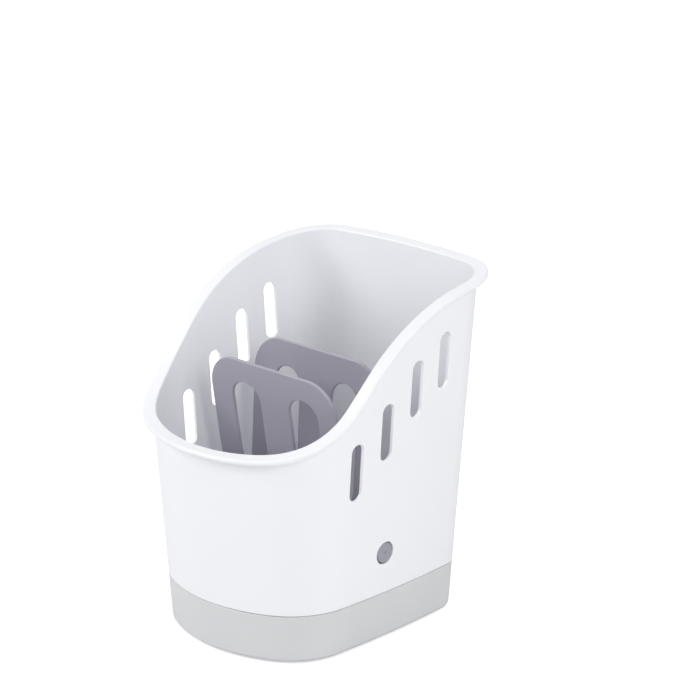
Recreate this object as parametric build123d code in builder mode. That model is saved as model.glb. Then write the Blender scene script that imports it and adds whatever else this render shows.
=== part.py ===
import os
from math import cos, hypot, radians, sin, sqrt, tan

from build123d import *

# Outline of the body at its bottom edge: a broad front bow, gently bowed
# sides and a nearly flat back
base_half_width = 56.5
base_front = 70.5
base_back = 65.1
widest_y = -8.0
side_radius = 620.0
front_radius = 77.5
back_radius = 341.0
front_corner_radius = 36.0
back_corner_radius = 12.0
draft_angle = 4.1

# Walls and fits
wall = 2.0
seam_gap = 0.5
fit_gap = 0.4
rest_gap = 0.3
overrun = 20.0

# Drip tray and feet
foot_stand = 1.0
tray_height = 26.4
tray_floor = 2.6
tray_ledge = 2.4
tray_bottom_round = 3.0
tray_rim_round = 0.7
foot_diameter = 14.0
foot_recess = 1.2
foot_clearance = 0.3
foot_round = 0.4
foot_side_inset = 20.5
foot_front_inset = 30.5
foot_rear_inset = 19.1

# Tub
spigot_depth = 9.0
spigot_round = 1.6
tub_floor = 2.4
floor_round = 1.6
drain_length = 18.0
drain_width = 4.0
drain_pitch_x = 26.0
drain_pitch_y = 12.0
drain_columns = 3
drain_rows = 7
drain_centre_y = 2.0

# Rim line seen from the side: level front, sweep up, straight rise, crest,
# nearly level back
front_rim_height = 114.2
sweep_radius = 71.0
rise_angle = 47.7
rise_length = 20.0
crest_radius = 104.3
back_angle = 8.1
rim_start = 86.3

# Rim flange with a rolled outer edge
flange = 5.5
rim_depth = 2.8
upright_share = 0.3
rim_round = 1.2
rim_inner_round = 0.9

# Draining slots of the side walls
slot_height = 31.0
slot_width = 8.4
slot_pitch = 20.85
slot_first_y = -25.4
slot_height_shares = (0.532, 0.62, 0.717, 0.773)
slot_lip_round = 0.5

# Pivot of the cradle
pivot_height = 50.5
pivot_y = -0.8
pivot_hole = 12.4
pin_clearance = 0.08
pin_stem = 7.0
stem_clearance = 0.02
stem_length = 10.0
stem_end_gap = 0.6
stem_chamfer = 0.8
pin_recess = 0.7
pin_edge_round = 0.7
gate_mark = 1.6
gate_depth = 0.3
hub_diameter = 16.0
hub_gap = 0.4

# Sponge cradle: two slotted plates that rise out of one trough
cradle_lean = 4.5
plate_splay = 7.8
plate_length = 95.5
plate_thickness = 2.0
plate_half_width = 46.5
plate_corner_radius = 19.0
plate_edge_round = 0.5
trough_radius = 4.6
plate_slot_width = 18.8
plate_slot_spacing = 42.4
plate_slot_top = 13.7
plate_slot_height = 66.0
cheek_height = 14.0
cheek_thickness = 2.2
trough_drain_diameter = 4.0
trough_drain_pitch = 16.0
trough_drains = 5

# Levels worked out from the sizes above
slope_share = tan(radians(draft_angle))
seam_level = foot_stand + tray_height
shoulder_level = seam_level + seam_gap
spigot_bottom = seam_level - spigot_depth
floor_top = spigot_bottom + tub_floor
tray_floor_top = foot_stand + tray_floor
tray_ledge_top = spigot_bottom - rest_gap
rise, fall = radians(rise_angle), radians(back_angle)
crest_end_y = (-rim_start + sweep_radius * sin(rise) + rise_length * cos(rise)
               + crest_radius * (sin(rise) - sin(fall)))
crest_end_height = (front_rim_height + sweep_radius * (1 - cos(rise)) + rise_length * sin(rise)
                    + crest_radius * (cos(fall) - cos(rise)))
back_reach = base_back + flange + crest_end_height * slope_share
back_rim_height = crest_end_height + (back_reach - crest_end_y) * tan(fall)
top_level = back_rim_height + overrun
side_reach = base_half_width + flange + back_rim_height * slope_share + overrun
slot_levels = [share * back_rim_height for share in slot_height_shares]
foot_x = base_half_width - foot_side_inset
foot_front_y = foot_front_inset - base_front
foot_rear_y = base_back - foot_rear_inset
foot_places = {"foot_front_left": (-foot_x, foot_front_y), "foot_front_right": (foot_x, foot_front_y),
               "foot_rear_left": (-foot_x, foot_rear_y), "foot_rear_right": (foot_x, foot_rear_y)}


# Half width of the outside at a level and a place along Y
def side_at(level, place):
    bow_radius = side_radius + (level - foot_stand) * slope_share
    return base_half_width - side_radius + sqrt(bow_radius ** 2 - (place - widest_y) ** 2)


# Where a bow of the front or back, centred on the Y axis, crosses the bow of
# the right side
def crossing(centre_y, radius, bow_radius, turn):
    bow_x = base_half_width - side_radius
    apart = hypot(bow_x, widest_y - centre_y)
    along = (radius ** 2 - bow_radius ** 2 + apart ** 2) / (2 * apart)
    aside = turn * sqrt(radius ** 2 - along ** 2)
    to_x, to_y = bow_x / apart, (widest_y - centre_y) / apart
    return along * to_x - aside * to_y, centre_y + along * to_y + aside * to_x


# Outline of the body at a level, moved outward by a growth
def outline_at(level, growth):
    grown = (level - foot_stand) * slope_share + growth
    half_width, bow_radius = base_half_width + grown, side_radius + grown
    front_x, front_y = crossing(front_radius - base_front, front_radius + grown, bow_radius, 1)
    back_x, back_y = crossing(base_back - back_radius, back_radius + grown, bow_radius, -1)
    with BuildSketch(Plane.XY.offset(level)) as outline:
        with BuildLine():
            ThreePointArc((-front_x, front_y), (0, -base_front - grown), (front_x, front_y))
            ThreePointArc((front_x, front_y), (half_width, widest_y), (back_x, back_y))
            ThreePointArc((back_x, back_y), (0, base_back + grown), (-back_x, back_y))
            ThreePointArc((-back_x, back_y), (-half_width, widest_y), (-front_x, front_y))
        make_face()
        fillet(outline.vertices().sort_by(Axis.Y)[:2], radius=front_corner_radius + grown)
        fillet(outline.vertices().sort_by(Axis.Y)[-2:], radius=back_corner_radius + grown)
    return outline.sketch


def shell_ends(bottom, top, growth):
    return [outline_at(bottom, growth), outline_at(top, growth)]


# Area below the rim line, seen from the side
with BuildSketch(Plane.YZ) as below_rim:
    with BuildLine():
        sweep_up = JernArc(start=(-rim_start, front_rim_height), tangent=(1, 0),
                           radius=sweep_radius, arc_size=rise_angle)
        straight = Line(sweep_up @ 1, sweep_up @ 1 + (sweep_up % 1) * rise_length)
        crest = JernArc(start=straight @ 1, tangent=straight % 1,
                        radius=crest_radius, arc_size=back_angle - rise_angle)
        rear = Line(crest @ 1, crest @ 1 + (crest % 1) * side_reach)
        front = Line(sweep_up @ 0, (-rim_start - side_reach, front_rim_height))
        Polyline(rear @ 1, ((rear @ 1).X, -side_reach), ((front @ 1).X, -side_reach), front @ 1)
    make_face()


def below(drop):
    with BuildSketch(Plane.YZ) as area:
        add(below_rim.sketch_local)
        offset(amount=-drop, mode=Mode.REPLACE)
    return area.sketch


def shared_edges(first, second):
    return [edge for edge in first.edges()
            if any(edge.is_same(other) for other in second.edges())]


def points_out(face):
    centre, normal = face.center(), face.normal_at()
    return centre.X * normal.X + centre.Y * normal.Y > 0


def on_outside(edge):
    middle = edge.center()
    return abs(middle.X) > side_at(middle.Z, middle.Y) - wall / 4


# Hollow of the tub
with BuildPart() as hollow:
    loft(shell_ends(shoulder_level + wall, top_level, -wall), ruled=True)
    loft(shell_ends(floor_top, shoulder_level + wall, -wall - fit_gap - wall), ruled=True)
    fillet(hollow.edges().group_by(Axis.Z)[0], radius=floor_round)

# Rolled rim that follows the rim line
with BuildPart() as rolled_rim:
    loft(shell_ends(seam_level, top_level, flange), ruled=True)
    extrude(below_rim.sketch, amount=side_reach, both=True, mode=Mode.INTERSECT)
    extrude(below(rim_depth), amount=side_reach, both=True, mode=Mode.SUBTRACT)
    add(hollow.part, mode=Mode.SUBTRACT)
    levels = rolled_rim.faces().filter_by(lambda face: abs(face.normal_at().Z) > cos(rise) - upright_share)
    sides = rolled_rim.faces().filter_by(lambda face: abs(face.normal_at().Z) < upright_share)
    fillet(shared_edges(levels, sides.filter_by(points_out)), radius=rim_round)
    tops = rolled_rim.faces().filter_by(lambda face: face.normal_at().Z > cos(rise) - upright_share)
    sides = rolled_rim.faces().filter_by(lambda face: abs(face.normal_at().Z) < upright_share)
    inner_sides = sides.filter_by(lambda face: not points_out(face))
    fillet(shared_edges(tops, inner_sides), radius=rim_inner_round)

# Tub
with BuildPart() as tub:
    loft(shell_ends(shoulder_level, top_level, 0), ruled=True)
    extrude(below(rim_depth), amount=side_reach, both=True, mode=Mode.INTERSECT)
    loft(shell_ends(spigot_bottom, shoulder_level, -wall - fit_gap), ruled=True)
    fillet(tub.edges().group_by(Axis.Z)[0], radius=spigot_round)
    add(hollow.part, mode=Mode.SUBTRACT)
    add(rolled_rim.part)
    with BuildSketch(Plane.YZ) as side_openings:
        for index, level in enumerate(slot_levels):
            with Locations((slot_first_y + index * slot_pitch, level)):
                SlotOverall(slot_height, slot_width, rotation=90)
        with Locations((pivot_y, pivot_height)):
            Circle(pivot_hole / 2)
    extrude(amount=side_reach, both=True, mode=Mode.SUBTRACT)
    lips = tub.edges(Select.LAST).filter_by(on_outside)
    fillet(lips, radius=slot_lip_round)
    with BuildSketch(Plane.XY.offset(spigot_bottom - overrun)) as floor_drains:
        with Locations((0, drain_centre_y)):
            with GridLocations(drain_pitch_x, drain_pitch_y, drain_columns, drain_rows):
                SlotOverall(drain_length, drain_width)
    extrude(amount=tub_floor + 2 * overrun, mode=Mode.SUBTRACT)

# Drip tray
with BuildPart() as drip_tray:
    loft(shell_ends(foot_stand, seam_level, 0), ruled=True)
    fillet(drip_tray.edges().group_by(Axis.Z)[0], radius=tray_bottom_round)
    fillet(drip_tray.edges().group_by(Axis.Z)[-1], radius=tray_rim_round)
    loft(shell_ends(tray_ledge_top, seam_level + overrun, -wall), ruled=True, mode=Mode.SUBTRACT)
    loft(shell_ends(tray_floor_top, tray_ledge_top, -wall - tray_ledge), ruled=True,
         mode=Mode.SUBTRACT)
    with BuildSketch(Plane.XY.offset(foot_stand)):
        with Locations(*foot_places.values()):
            Circle(foot_diameter / 2 + foot_clearance)
    extrude(amount=foot_recess, mode=Mode.SUBTRACT)

# Feet pressed into the recesses under the tray
feet = []
for name, place in foot_places.items():
    with BuildPart() as foot:
        with BuildSketch():
            with Locations(place):
                Circle(foot_diameter / 2)
        extrude(amount=foot_stand + foot_recess)
        fillet(foot.edges().group_by(Axis.Z)[0], radius=foot_round)
    foot.part.label = name
    feet.append(foot.part)

# Planes of the leaning cradle: one across the axle, one along its plates
lean, splay = radians(cradle_lean), radians(plate_splay)
axle = (0, pivot_y, pivot_height)
across = Plane(origin=axle, x_dir=(0, cos(lean), sin(lean)), z_dir=(1, 0, 0))
along = Plane(origin=axle, x_dir=(1, 0, 0), z_dir=(0, -cos(lean), -sin(lean)))
hub_end = side_at(pivot_height - hub_diameter / 2, pivot_y + hub_diameter / 2) - wall - hub_gap
pin_face = side_at(pivot_height, pivot_y) - pin_recess
cheek_start = plate_half_width - cheek_thickness
plate_top = plate_length * cos(splay) - (trough_radius + plate_thickness) * sin(splay)


# Area of the trough and its two plates, down to a radius round the axle
def trough_area(radius, extra):
    foot_y, foot_z = radius * cos(splay), -radius * sin(splay)
    top_y = foot_y + (plate_length + extra) * sin(splay)
    top_z = foot_z + (plate_length + extra) * cos(splay)
    with BuildSketch(across) as area:
        with BuildLine():
            Polyline((-foot_y, foot_z), (-top_y, top_z), (top_y, top_z), (foot_y, foot_z))
            ThreePointArc((foot_y, foot_z), (0, -radius), (-foot_y, foot_z))
        make_face()
    return area.sketch


# Edges of the half cradle's plates, without those at the trough and the middle
def clear_of_trough(edge):
    middle = edge.center()
    return middle.Z > pivot_height + trough_radius and middle.X > wall


# Sponge cradle
with BuildPart() as cheek:
    extrude(trough_area(trough_radius + plate_thickness, 0), amount=plate_half_width)
    with BuildSketch(across):
        with Locations((0, cheek_height - plate_length / 2)):
            Rectangle(plate_length, plate_length)
    extrude(amount=plate_half_width, mode=Mode.INTERSECT)
    with BuildSketch(across):
        Rectangle(2 * plate_length, 2 * plate_length)
    extrude(amount=cheek_start, mode=Mode.SUBTRACT)

with BuildPart() as sponge_cradle:
    extrude(trough_area(trough_radius + plate_thickness, 0), amount=plate_half_width, both=True)
    extrude(trough_area(trough_radius, overrun), amount=plate_half_width, both=True,
            mode=Mode.SUBTRACT)
    with BuildSketch(along) as plate_shape:
        with Locations((0, plate_top - plate_length)):
            Rectangle(2 * plate_half_width, 2 * plate_length)
        fillet(plate_shape.vertices().group_by(Axis.Z)[-1], radius=plate_corner_radius)
    extrude(amount=plate_length, both=True, mode=Mode.INTERSECT)
    with BuildSketch(along):
        with Locations((0, plate_top - plate_slot_top - plate_slot_height / 2)):
            with GridLocations(plate_slot_spacing, 0, 2, 1):
                SlotOverall(plate_slot_height, plate_slot_width, rotation=90)
    extrude(amount=plate_length, both=True, mode=Mode.SUBTRACT)
    add(cheek.part)
    split(bisect_by=Plane.YZ)
    plate_faces = sponge_cradle.faces().filter_by(GeomType.PLANE).sort_by(SortBy.AREA)[-4:]
    plate_edges = plate_faces.edges().filter_by(clear_of_trough)
    fillet(plate_edges, radius=plate_edge_round)
    with BuildSketch(across.offset(cheek_start)):
        Circle(hub_diameter / 2)
    extrude(amount=hub_end - cheek_start)
    with BuildSketch(across.offset(hub_end)):
        Circle(pin_stem / 2)
    extrude(amount=-stem_length - stem_end_gap, mode=Mode.SUBTRACT)
    mirror(about=Plane.YZ)
    with BuildSketch(Plane.XY.offset(pivot_height)):
        with Locations((0, pivot_y)):
            with GridLocations(trough_drain_pitch, 0, trough_drains, 1):
                Circle(trough_drain_diameter / 2)
    extrude(amount=-overrun, mode=Mode.SUBTRACT)

# Pivot pins
with BuildPart() as pivot_pin_right:
    with BuildSketch(Plane.YZ.offset(hub_end)):
        with Locations((pivot_y, pivot_height)):
            Circle(pivot_hole / 2 - pin_clearance)
    extrude(amount=pin_face - hub_end)
    fillet(pivot_pin_right.edges().group_by(Axis.X)[-1], radius=pin_edge_round)
    with BuildSketch(Plane.YZ.offset(hub_end)):
        with Locations((pivot_y, pivot_height)):
            Circle(pin_stem / 2 - stem_clearance)
    extrude(amount=-stem_length)
    chamfer(pivot_pin_right.edges().group_by(Axis.X)[0], length=stem_chamfer)
    with BuildSketch(Plane.YZ.offset(pin_face)):
        with Locations((pivot_y, pivot_height)):
            Circle(gate_mark / 2)
    extrude(amount=-gate_depth, mode=Mode.SUBTRACT)

with BuildPart() as pivot_pin_left:
    mirror(pivot_pin_right.part, about=Plane.YZ)

# Named pieces
tub.part.label = "tub"
drip_tray.part.label = "drip_tray"
sponge_cradle.part.label = "sponge_cradle"
pivot_pin_right.part.label = "pivot_pin_right"
pivot_pin_left.part.label = "pivot_pin_left"

os.makedirs("parts", exist_ok=True)
for piece in [tub.part, drip_tray.part, sponge_cradle.part, pivot_pin_right.part,
              pivot_pin_left.part, *feet]:
    box = piece.bounding_box()
    print(piece.label, "valid", piece.is_valid, "solids", len(piece.solids()),
          "volume", round(piece.volume), "box", box)
    export_step(piece, f"parts/{piece.label}.step")
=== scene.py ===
import math

import bmesh
import bpy
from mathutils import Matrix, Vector


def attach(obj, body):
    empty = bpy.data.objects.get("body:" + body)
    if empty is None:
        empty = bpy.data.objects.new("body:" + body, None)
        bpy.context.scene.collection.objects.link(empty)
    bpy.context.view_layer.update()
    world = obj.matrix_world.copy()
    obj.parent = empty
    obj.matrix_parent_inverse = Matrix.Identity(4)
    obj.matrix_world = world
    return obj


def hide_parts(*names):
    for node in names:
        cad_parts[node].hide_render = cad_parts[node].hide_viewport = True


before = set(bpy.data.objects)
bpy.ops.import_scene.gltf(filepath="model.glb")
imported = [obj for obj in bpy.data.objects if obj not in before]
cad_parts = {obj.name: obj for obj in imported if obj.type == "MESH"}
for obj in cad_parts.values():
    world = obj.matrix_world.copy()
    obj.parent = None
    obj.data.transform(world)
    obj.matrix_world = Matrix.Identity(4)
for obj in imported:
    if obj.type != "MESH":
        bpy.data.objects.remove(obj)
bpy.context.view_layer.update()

MM = 0.001
SIDEWAYS = Vector((1, 0, 0))
WELD = 0.001 * MM
CREASE = math.radians(32)

# Axle of the sponge cradle, in mm
AXLE = Vector((0, -0.8, 50.5))


def linear(hex_colour):
    """sRGB hex to linear RGBA."""
    channels = [int(hex_colour[i:i + 2], 16) / 255 for i in (1, 3, 5)]
    return [c / 12.92 if c <= 0.04045 else ((c + 0.055) / 1.055) ** 2.4 for c in channels] + [1.0]


def add_node(tree, kind, settings=None, inputs=None):
    """Adds a node, sets its properties, then fills or links its inputs."""
    made = tree.nodes.new(kind)
    for name, value in (settings or {}).items():
        setattr(made, name, value)
    for name, value in (inputs or {}).items():
        socket = made.inputs[name]
        if isinstance(value, bpy.types.NodeSocket):
            tree.links.new(value, socket)
        else:
            socket.default_value = value
    return made


def moulding(name, light_hex, deep_hex, roughness, flow_mm, ripple_depth_mm, grain_depth_mm):
    """Plastic or rubber moulded in a polished tool: the colour drifts a little with the melt's
    flow, the cooling skin ripples very slightly, and haze varies the waxy surface's soft gloss.
    The tool's polishing grain is about 0.1 mm wide, and is drawn 1.1 mm wide to show at all."""
    ripple_mm, haze_mm, grain_mm = 16.0, 7.0, 1.1
    haze_low, haze_high, haze_swing = 0.3, 0.7, 0.012
    polypropylene_ior = 1.49
    material = bpy.data.materials.new(name)
    material.use_nodes = True
    tree = material.node_tree
    shader = tree.nodes["Principled BSDF"]
    place = add_node(tree, "ShaderNodeTexCoord").outputs["Object"]
    flow = add_node(tree, "ShaderNodeTexNoise", inputs={
        "Vector": place, "Scale": 1 / (flow_mm * MM), "Detail": 2.0, "Roughness": 0.4,
        "Distortion": 0.6})
    colour = add_node(tree, "ShaderNodeMix", {"data_type": "RGBA"}, {
        0: flow.outputs["Fac"], 6: linear(light_hex), 7: linear(deep_hex)})
    haze = add_node(tree, "ShaderNodeTexNoise", inputs={
        "Vector": place, "Scale": 1 / (haze_mm * MM), "Detail": 3.0, "Roughness": 0.5})
    sheen = add_node(tree, "ShaderNodeMapRange", inputs={
        "Value": haze.outputs["Fac"], "From Min": haze_low, "From Max": haze_high,
        "To Min": roughness - haze_swing, "To Max": roughness + haze_swing})
    ripple = add_node(tree, "ShaderNodeTexNoise", inputs={
        "Vector": place, "Scale": 1 / (ripple_mm * MM), "Detail": 1.0, "Roughness": 0.4})
    swell = add_node(tree, "ShaderNodeBump", inputs={
        "Strength": 1.0, "Distance": ripple_depth_mm * MM, "Height": ripple.outputs["Fac"]})
    grain = add_node(tree, "ShaderNodeTexNoise", inputs={
        "Vector": place, "Scale": 1 / (grain_mm * MM), "Detail": 2.0, "Roughness": 0.5})
    relief = add_node(tree, "ShaderNodeBump", inputs={
        "Strength": 1.0, "Distance": grain_depth_mm * MM, "Height": grain.outputs["Fac"],
        "Normal": swell.outputs["Normal"]})
    tree.links.new(colour.outputs[2], shader.inputs["Base Color"])
    tree.links.new(sheen.outputs["Result"], shader.inputs["Roughness"])
    tree.links.new(relief.outputs["Normal"], shader.inputs["Normal"])
    shader.inputs["IOR"].default_value = polypropylene_ior
    return material


# Tub: clean white with the soft, broad sheen of polished polypropylene
white_polypropylene = moulding(
    "white moulded polypropylene", "#f3f4f8", "#eff0f4",
    roughness=0.302, flow_mm=60, ripple_depth_mm=0.012, grain_depth_mm=0.001)
# Tray: pale neutral grey, a little duller than the tub
light_grey_polypropylene = moulding(
    "light grey moulded polypropylene", "#d6d7d9", "#d0d1d4",
    roughness=0.36, flow_mm=50, ripple_depth_mm=0.012, grain_depth_mm=0.0015)
# Cradle: satin mid grey with a trace of violet
cradle_polypropylene = moulding(
    "cool grey moulded polypropylene", "#aaa8b4", "#a4a1ae",
    roughness=0.38, flow_mm=40, ripple_depth_mm=0.010, grain_depth_mm=0.0015)
# Pins: the cradle's grey, a shade deeper
pin_polypropylene = moulding(
    "cool grey moulded polypropylene of the pins", "#9c9ba5", "#9695a0",
    roughness=0.38, flow_mm=40, ripple_depth_mm=0.010, grain_depth_mm=0.0015)
# Feet: matt grey rubber, grainy enough to show no highlight
foot_rubber = moulding(
    "moulded thermoplastic rubber", "#8f9094", "#88898d",
    roughness=0.62, flow_mm=20, ripple_depth_mm=0.02, grain_depth_mm=0.01)

finishes = {
    "tub": white_polypropylene,
    "drip_tray": light_grey_polypropylene,
    "foot_front_left": foot_rubber,
    "foot_front_right": foot_rubber,
    "foot_rear_left": foot_rubber,
    "foot_rear_right": foot_rubber,
}
for name, material in finishes.items():
    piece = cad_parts[name]
    piece.data.materials.clear()
    piece.data.materials.append(material)


def share(value, start, end):
    """How far a value is from start to end, from 0 to 1."""
    return max(0.0, min(1.0, (value - start) / (end - start)))


def shaded_piece(name, form, material):
    """Turns a modelled form into a named piece, smooth but for its creases."""
    shape = bpy.data.meshes.new(name)
    form.to_mesh(shape)
    form.free()
    shape.polygons.foreach_set("use_smooth", [True] * len(shape.polygons))
    shape.set_sharp_from_angle(angle=CREASE)
    shape.materials.append(material)
    piece = bpy.data.objects.new(name, shape)
    bpy.context.scene.collection.objects.link(piece)
    return piece


def ride_for(piece, node):
    """The piece stands for a node of the cradle, and moves with it."""
    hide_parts(node)
    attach(piece, "cradle")


def turned_cradle(moulded):
    """The cradle with its front plate as the photograph shows it: more upright than the rear
    plate, with slots that are wider and reach higher. Heights are in mm from the axle, along
    the cradle's lean, and depths are across it."""
    lean, splay = math.radians(4.5), math.radians(7.8)
    up = Vector((0, -math.sin(lean), math.cos(lean)))
    across = Vector((0, math.cos(lean), math.sin(lean)))
    # The plate turns about one height, and curves back into the trough below another
    trough_depth, plate_foot, plate_straight = 4.6, 8.0, 45.0
    turn_height, upright = 65.0, 0.06
    slot_place, slot_radius, slot_low, slot_high = 21.2, 9.4, 23.4, 70.6
    slot_edge, slot_reach = 0.8, 7.0
    slot_raise, slot_widen, slot_shift = 1.3, 1.2, 0.9
    band_low, band_high, band = 8, 92, 3
    flat = math.radians(0.2)

    form = bmesh.new()
    form.from_mesh(moulded.data)
    bmesh.ops.remove_doubles(form, verts=form.verts[:], dist=WELD)
    bmesh.ops.dissolve_limit(form, angle_limit=flat, verts=form.verts[:], edges=form.edges[:])
    for height in range(band_low, band_high, band):
        bmesh.ops.bisect_plane(
            form, geom=form.verts[:] + form.edges[:] + form.faces[:], dist=WELD / 2,
            plane_co=(AXLE + up * height) * MM, plane_no=up)
    for vertex in form.verts:
        place = vertex.co / MM - AXLE
        height, depth = place.dot(up), place.dot(across)
        if height < plate_foot or depth > 0:
            continue
        front = share(-depth, 0.0, trough_depth)
        curve = share(height, plate_foot, plate_straight)
        outward = upright * (turn_height - height) * curve * curve * (3 - 2 * curve)
        level = max(slot_low, min(slot_high, height))
        beside = place.x - math.copysign(slot_place, place.x)
        distance = math.hypot(beside, height - level)
        near = front * (1 - share(distance, slot_radius + slot_edge, slot_radius + slot_reach))
        raised = near * slot_raise * share(height, slot_low, slot_high)
        aside = near * (slot_shift + slot_widen * max(-1.0, min(1.0, beside / slot_radius)))
        vertex.co += (SIDEWAYS * aside + up * raised
                      - across * (front * outward + raised * math.tan(splay))) * MM

    cradle = shaded_piece("turned_sponge_cradle", form, cradle_polypropylene)
    even = cradle.modifiers.new("even shading", "WEIGHTED_NORMAL")
    even.keep_sharp = True
    return cradle


def seated_pin(name, hand):
    """A pin whose head is smaller than its bearing hole and sits toward the hole's rear, as the
    dark crescent round its front shows. Its stem stays in the hub's bore. Sizes are in mm."""
    head_centre = Vector((0, -0.4, 50.4))
    face, shoulder, stem_end = 59.3, 56.9, 46.9
    head_radius, head_round, round_steps = 5.55, 0.6, 5
    stem_radius, stem_chamfer = 3.48, 0.8
    gate_radius, gate_depth = 0.8, 0.3
    turns, hair = 64, 0.01

    outline = [(face - gate_depth, 0.0), (face - gate_depth, gate_radius), (face, gate_radius)]
    for step in range(round_steps + 1):
        turn = math.radians(90 / round_steps * step)
        outline.append((face - head_round + head_round * math.cos(turn),
                        head_radius - head_round + head_round * math.sin(turn)))
    outline += [(shoulder, head_radius), (shoulder, stem_radius),
                (stem_end + stem_chamfer, stem_radius), (stem_end, stem_radius - stem_chamfer),
                (stem_end, 0.0)]
    form = bmesh.new()
    rail = [form.verts.new((head_centre + Vector((along, 0, radius))) * MM)
            for along, radius in outline]
    edges = [form.edges.new(pair) for pair in zip(rail, rail[1:])]
    bmesh.ops.spin(form, geom=rail + edges, cent=head_centre * MM, axis=SIDEWAYS,
                   angle=math.tau, steps=turns, use_merge=True)
    bmesh.ops.remove_doubles(form, verts=form.verts[:], dist=WELD)
    for vertex in form.verts:
        place = vertex.co / MM - head_centre
        if place.x < shoulder + hair and math.hypot(place.y, place.z) < stem_radius + hair:
            vertex.co += (AXLE - head_centre) * MM
    if hand < 0:
        bmesh.ops.scale(form, vec=(-1, 1, 1), verts=form.verts[:])
    bmesh.ops.recalc_face_normals(form, faces=form.faces[:])
    return shaded_piece(name, form, pin_polypropylene)


ride_for(turned_cradle(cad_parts["sponge_cradle"]), "sponge_cradle")
for side, hand in (("left", -1), ("right", 1)):
    ride_for(seated_pin(f"seated_pin_{side}", hand), f"pivot_pin_{side}")

# Floor: white seamless paper, matt, which shows as white and keeps the caddy's soft shadow
reach = 3
floor_mesh = bpy.data.meshes.new("floor")
floor_mesh.from_pydata(
    [(-reach, -reach, 0), (reach, -reach, 0), (reach, reach, 0), (-reach, reach, 0)],
    [], [(0, 1, 2, 3)])
floor = bpy.data.objects.new("floor", floor_mesh)
bpy.context.scene.collection.objects.link(floor)
paper = bpy.data.materials.new("white seamless paper")
paper.use_nodes = True
tree = paper.node_tree
sheet = tree.nodes["Principled BSDF"]
sheet.inputs["Base Color"].default_value = linear("#f4f4f4")
sheet.inputs["Roughness"].default_value = 0.9
sheet.inputs["Specular IOR Level"].default_value = 0.1
sheet.inputs["Emission Color"].default_value = (1, 1, 1, 1)
path = add_node(tree, "ShaderNodeLightPath")
lift = add_node(tree, "ShaderNodeMath", {"operation": "MULTIPLY"},
                {0: path.outputs["Is Camera Ray"], 1: 0.5})
tree.links.new(lift.outputs[0], sheet.inputs["Emission Strength"])
floor_mesh.materials.append(paper)

# World: white where it is seen or mirrored, softer where it lights
world = bpy.data.worlds.new("studio")
bpy.context.scene.world = world
world.use_nodes = True
tree = world.node_tree
tree.nodes.clear()
path = add_node(tree, "ShaderNodeLightPath")
through = add_node(tree, "ShaderNodeMath", {"operation": "MAXIMUM"},
                   {0: path.outputs["Is Camera Ray"], 1: path.outputs["Is Transmission Ray"]})
shown = add_node(tree, "ShaderNodeMath", {"operation": "MAXIMUM"},
                 {0: through.outputs[0], 1: path.outputs["Is Glossy Ray"]})
strength = add_node(tree, "ShaderNodeMapRange", inputs={
    "Value": shown.outputs[0], "To Min": 0.5, "To Max": 1.0})
back = add_node(tree, "ShaderNodeBackground", inputs={
    "Color": (1, 1, 1, 1), "Strength": strength.outputs["Result"]})
add_node(tree, "ShaderNodeOutputWorld", inputs={"Surface": back.outputs[0]})


def softbox(name, place, size, watts):
    """A square soft lamp that points at the caddy's middle. Places and sizes are in metres."""
    caddy = Vector((0, 0, 0.1))
    lamp = bpy.data.lights.new(name, "AREA")
    lamp.shape, lamp.size, lamp.size_y, lamp.energy = "RECTANGLE", size, size, watts
    holder = bpy.data.objects.new(name, lamp)
    bpy.context.scene.collection.objects.link(holder)
    holder.location = place
    holder.rotation_mode = "QUATERNION"
    holder.rotation_quaternion = (caddy - Vector(place)).to_track_quat("-Z", "Y")


softbox("key softbox", (-0.9, -1.2, 0.95), size=0.9, watts=12)
softbox("fill softbox", (1.6, -0.3, 1.0), size=0.9, watts=12)
softbox("top softbox", (0.1, 0.3, 1.6), size=1.2, watts=3.5)

# Camera at the photograph's angle
azimuth, elevation = math.radians(44.372), math.radians(17.704)
distance, aim = 1405 * MM, Vector((10.678, 23.382, 144.412)) * MM
eye = bpy.data.cameras.new("camera")
eye.sensor_width, eye.lens = 36.0, 137.37
eye.clip_start, eye.clip_end = 0.05, 20
camera = bpy.data.objects.new("camera", eye)
bpy.context.scene.collection.objects.link(camera)
bpy.context.scene.camera = camera
backward = Vector((math.sin(azimuth) * math.cos(elevation),
                   -math.cos(azimuth) * math.cos(elevation),
                   math.sin(elevation)))
camera.location = aim + backward * distance
camera.rotation_mode = "QUATERNION"
camera.rotation_quaternion = (-backward).to_track_quat("-Z", "Y")

bpy.context.scene.view_settings.view_transform = "Standard"
